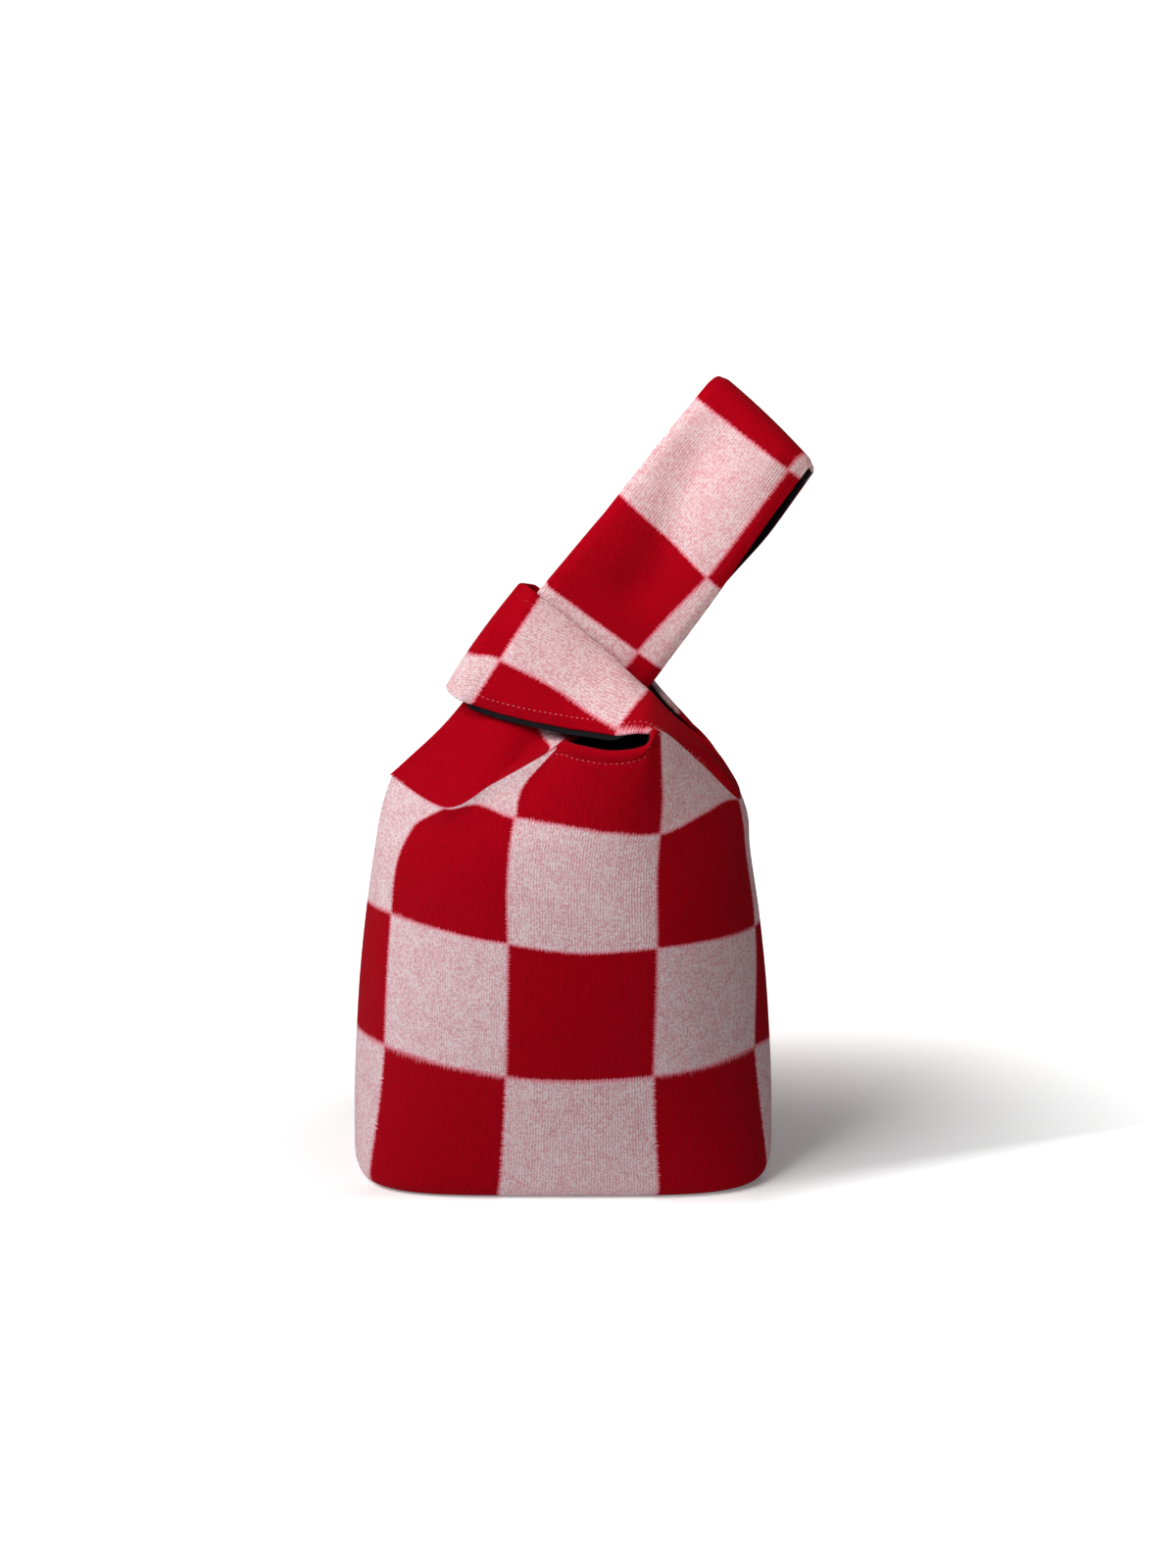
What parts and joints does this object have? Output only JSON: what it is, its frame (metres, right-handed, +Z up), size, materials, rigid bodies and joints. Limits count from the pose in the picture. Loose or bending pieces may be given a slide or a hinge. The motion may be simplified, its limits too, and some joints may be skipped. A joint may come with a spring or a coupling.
{
  "type": "japanese knot bag",
  "caption": "Small lined knot bag in checked felted wool: a soft pouch with a flat base, closed by passing its long wrist handle through its short handle.",
  "frame": {"origin": "middle of the base, on the surface the bag stands on", "axes": "+Z up, front panel faces -Y, the long handle leans towards +X"},
  "size_m": [0.2326, 0.1284, 0.4079],
  "materials": {
    "wool": "felted wool jacquard in red and pale pink checks",
    "lining": "plain black lining cloth",
    "fleece": "soft fleece interlining, hidden",
    "board": "thin base stiffener, hidden",
    "thread": "pale topstitching thread"
  },
  "bodies": {
    "bag_body": {"base_outer": "wool", "base_stiffener": "board", "base_lining": "lining", "front_outer": "wool", "front_interlining": "fleece", "front_lining": "lining", "back_outer": "wool", "back_interlining": "fleece", "back_lining": "lining", "long_root_outer_front": "wool", "long_root_lining_front": "lining", "long_root_outer_back": "wool", "long_root_lining_back": "lining", "short_root_outer_front": "wool", "short_root_lining_front": "lining", "short_root_outer_back": "wool", "short_root_lining_back": "lining", "lip_stitch_front": "thread", "lip_stitch_back": "thread"},
    "handle_bend": {"bend_outer_front": "wool", "bend_lining_front": "lining", "bend_outer_back": "wool", "bend_lining_back": "lining"},
    "carry_loop": {"carry_outer_front": "wool", "carry_lining_front": "lining", "carry_outer_back": "wool", "carry_lining_back": "lining", "carry_stitch_mouth": "thread", "carry_stitch_outer": "thread"},
    "short_loop": {"short_loop_outer_front": "wool", "short_loop_lining_front": "lining", "short_loop_outer_back": "wool", "short_loop_lining_back": "lining", "short_loop_stitch_mouth": "thread", "short_loop_stitch_outer": "thread"}
  },
  "joints": [
    {"name": "handle_sway", "type": "hinge", "parent": "bag_body", "child": "handle_bend", "pos_m": [0.01989, 0, 0.28308], "axis": [0, -1, 0], "range_deg": [-15, 36], "deforming": ["bend_outer_front", "bend_lining_front", "bend_outer_back", "bend_lining_back"]},
    {"name": "handle_fold", "type": "hinge", "parent": "handle_bend", "child": "carry_loop", "pos_m": [0.03658, 0, 0.30556], "axis": [0.8028, 0, -0.5962], "range_deg": [-90, 90], "deforming": ["bend_outer_front", "bend_lining_front", "bend_outer_back", "bend_lining_back"]},
    {"name": "loop_slide", "type": "slide", "parent": "bag_body", "child": "short_loop", "axis": [0.5962, 0, 0.8028], "range_m": [0, 0.01], "deforming": ["short_root_outer_front", "short_root_lining_front", "short_root_outer_back", "short_root_lining_back"]}
  ]
}
